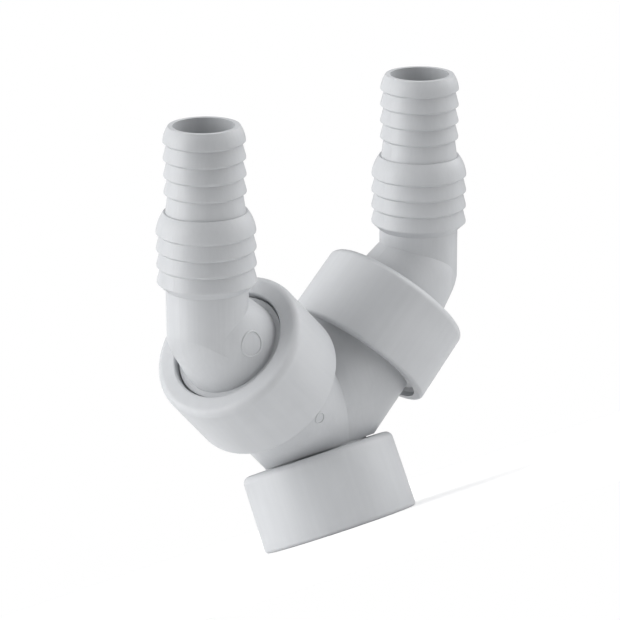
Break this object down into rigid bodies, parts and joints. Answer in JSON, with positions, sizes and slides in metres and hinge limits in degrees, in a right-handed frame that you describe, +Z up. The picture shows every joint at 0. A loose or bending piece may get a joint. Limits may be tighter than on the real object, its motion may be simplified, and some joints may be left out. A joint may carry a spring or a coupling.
{
  "type": "threaded hose y fitting with union nuts",
  "caption": "Plastic hose Y: a hollow three-way body with a swivel union nut on its leg and stepped barbed 45 degree elbows held on its two arms by union nuts.",
  "frame": {"origin": "middle of the leg nut's thread, on its axis", "axes": "+Z up the leg's axis into the body, +X from the left arm to the right arm, -Y to the front, the side the arms and nozzles lean to"},
  "size_m": [0.098, 0.0697, 0.1073],
  "materials": {
    "body_plastic": "satin moulded polypropylene",
    "nut_plastic": "satin moulded polypropylene",
    "elbow_plastic": "satin moulded polypropylene",
    "gasket_rubber": "black rubber"
  },
  "bodies": {
    "fitting": {"y_body": "body_plastic", "left_gasket": "gasket_rubber", "right_gasket": "gasket_rubber"},
    "inlet_nut": {"inlet_nut": "nut_plastic", "inlet_gasket": "gasket_rubber"},
    "left_nut": {"left_nut": "nut_plastic"},
    "right_nut": {"right_nut": "nut_plastic"},
    "left_elbow": {"left_elbow": "elbow_plastic"},
    "right_elbow": {"right_elbow": "elbow_plastic"}
  },
  "joints": [
    {"name": "inlet_nut_spin", "type": "hinge", "parent": "fitting", "child": "inlet_nut", "pos_m": [0, 0, 0], "axis": [0, 0, 1], "continuous": true},
    {"name": "left_nut_turn", "type": "hinge", "parent": "fitting", "child": "left_nut", "pos_m": [-0.02263, -0.01199, 0.03959], "axis": [-0.7071, -0.3747, 0.5997], "continuous": true},
    {"name": "left_elbow_swivel", "type": "hinge", "parent": "fitting", "child": "left_elbow", "pos_m": [-0.02263, -0.01199, 0.03959], "axis": [-0.7071, -0.3747, 0.5997], "continuous": true},
    {"name": "right_nut_turn", "type": "hinge", "parent": "fitting", "child": "right_nut", "pos_m": [0.02263, -0.01199, 0.03959], "axis": [0.7071, -0.3747, 0.5997], "continuous": true},
    {"name": "right_elbow_swivel", "type": "hinge", "parent": "fitting", "child": "right_elbow", "pos_m": [0.02263, -0.01199, 0.03959], "axis": [0.7071, -0.3747, 0.5997], "continuous": true}
  ]
}
